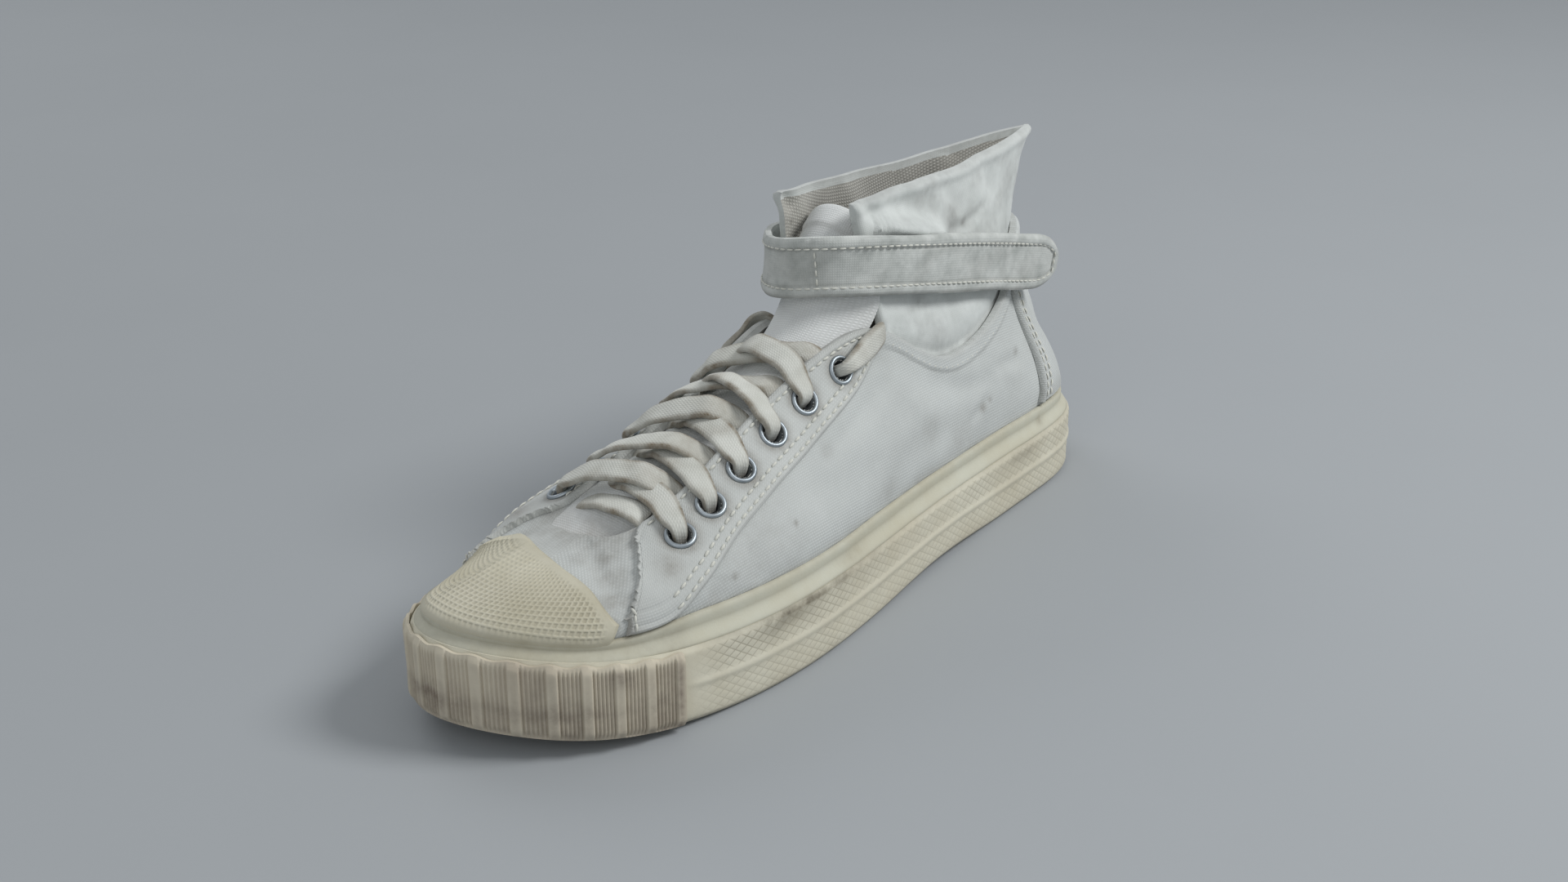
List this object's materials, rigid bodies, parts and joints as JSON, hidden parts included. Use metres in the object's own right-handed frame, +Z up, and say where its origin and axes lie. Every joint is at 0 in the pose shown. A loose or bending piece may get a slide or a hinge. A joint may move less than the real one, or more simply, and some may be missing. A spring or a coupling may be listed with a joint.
{
  "type": "worn high-top canvas sneaker",
  "caption": "Worn left high-top canvas sneaker with a taped rubber sole, rubber toe cap, soft cuff with a wrap strap, tongue, metal eyelets and a flat lace.",
  "frame": {"origin": "centre of the shoe's bounding box, on the floor under the sole", "axes": "+X towards the toe, +Y towards the outer (lateral) side, +Z up"},
  "size_m": [0.2948, 0.0954, 0.1228],
  "materials": {
    "sole_rubber": "matt, worn, dirty in the ribs",
    "cream_rubber": "satin, yellowed",
    "canvas": "washed-out cotton canvas",
    "cuff_cloth": "smooth soft cotton, smudged",
    "lining": "open mesh",
    "eyelet_metal": "dulled",
    "lace_cotton": "flat woven cotton with dirty edges"
  },
  "bodies": {
    "root": {"outsole": "sole_rubber", "foxing": "sole_rubber", "toe_bumper": "sole_rubber", "foxing_stripe": "cream_rubber", "insole": "lining", "upper": "canvas", "toe_cap": "cream_rubber", "eyestay_lateral": "canvas", "eyestay_medial": "canvas", "back_stay": "canvas", "cuff": "cuff_cloth", "tongue": "lining", "strap": "canvas", "eyelet_lateral_1": "eyelet_metal", "eyelet_lateral_2": "eyelet_metal", "eyelet_lateral_3": "eyelet_metal", "eyelet_lateral_4": "eyelet_metal", "eyelet_lateral_5": "eyelet_metal", "eyelet_lateral_6": "eyelet_metal", "eyelet_medial_1": "eyelet_metal", "eyelet_medial_2": "eyelet_metal", "eyelet_medial_3": "eyelet_metal", "eyelet_medial_4": "eyelet_metal", "eyelet_medial_5": "eyelet_metal", "eyelet_medial_6": "eyelet_metal", "lace_bar": "lace_cotton", "lace_cross_1": "lace_cotton", "lace_cross_2": "lace_cotton", "lace_cross_3": "lace_cotton", "lace_cross_4": "lace_cotton", "lace_cross_5": "lace_cotton", "lace_end_lateral": "lace_cotton", "lace_end_medial": "lace_cotton"}
  },
  "joints": []
}
